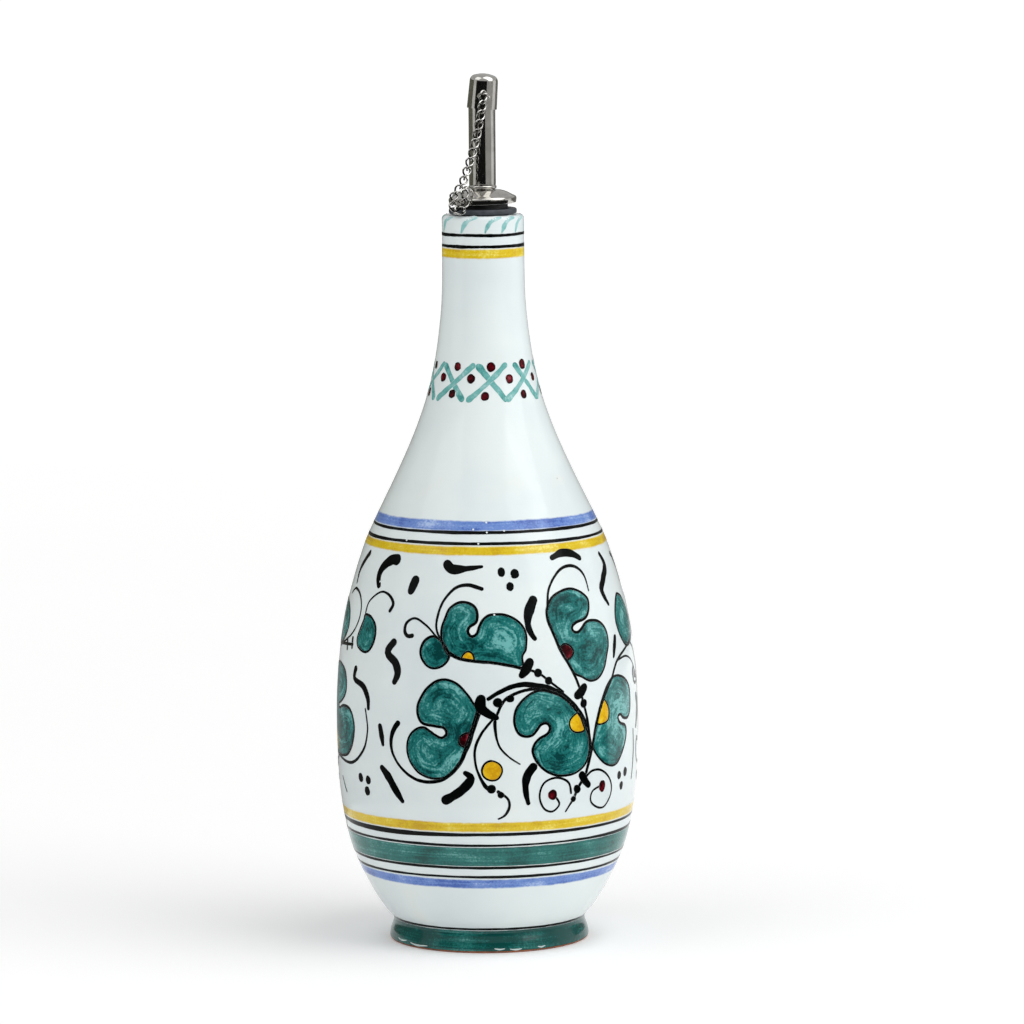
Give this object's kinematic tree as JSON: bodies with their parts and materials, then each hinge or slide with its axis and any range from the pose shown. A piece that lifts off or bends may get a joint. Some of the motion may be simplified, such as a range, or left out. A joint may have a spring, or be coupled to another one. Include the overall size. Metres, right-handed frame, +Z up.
{
  "type": "oil dispenser bottle",
  "caption": "Tall hand-painted glazed earthenware oil bottle with a turned foot, and a metal pourer whose cap hangs on a fine chain.",
  "frame": {"origin": "middle of the foot's underside, where the bottle stands", "axes": "+Z up along the bottle's turned axis, -Y towards the side with the chain"},
  "size_m": [0.1062, 0.1062, 0.305],
  "materials": {
    "painted_glaze": "glossy white tin glaze with hand-painted bands and leaf scrolls",
    "stopper_rubber": "satin black rubber",
    "polished_steel": "mirror-polished metal",
    "chain_steel": "bright drawn wire"
  },
  "bodies": {
    "root": {"bottle": "painted_glaze", "stopper": "stopper_rubber", "pourer_disc": "polished_steel", "spout_tube": "polished_steel", "cap": "polished_steel", "chain_link_01": "chain_steel", "chain_link_02": "chain_steel", "chain_link_03": "chain_steel", "chain_link_04": "chain_steel", "chain_link_05": "chain_steel", "chain_link_06": "chain_steel", "chain_link_07": "chain_steel", "chain_link_08": "chain_steel", "chain_link_09": "chain_steel", "chain_link_10": "chain_steel", "chain_link_11": "chain_steel", "chain_link_12": "chain_steel", "chain_link_13": "chain_steel", "chain_link_14": "chain_steel", "chain_link_15": "chain_steel", "chain_link_16": "chain_steel", "chain_link_17": "chain_steel"}
  },
  "joints": []
}
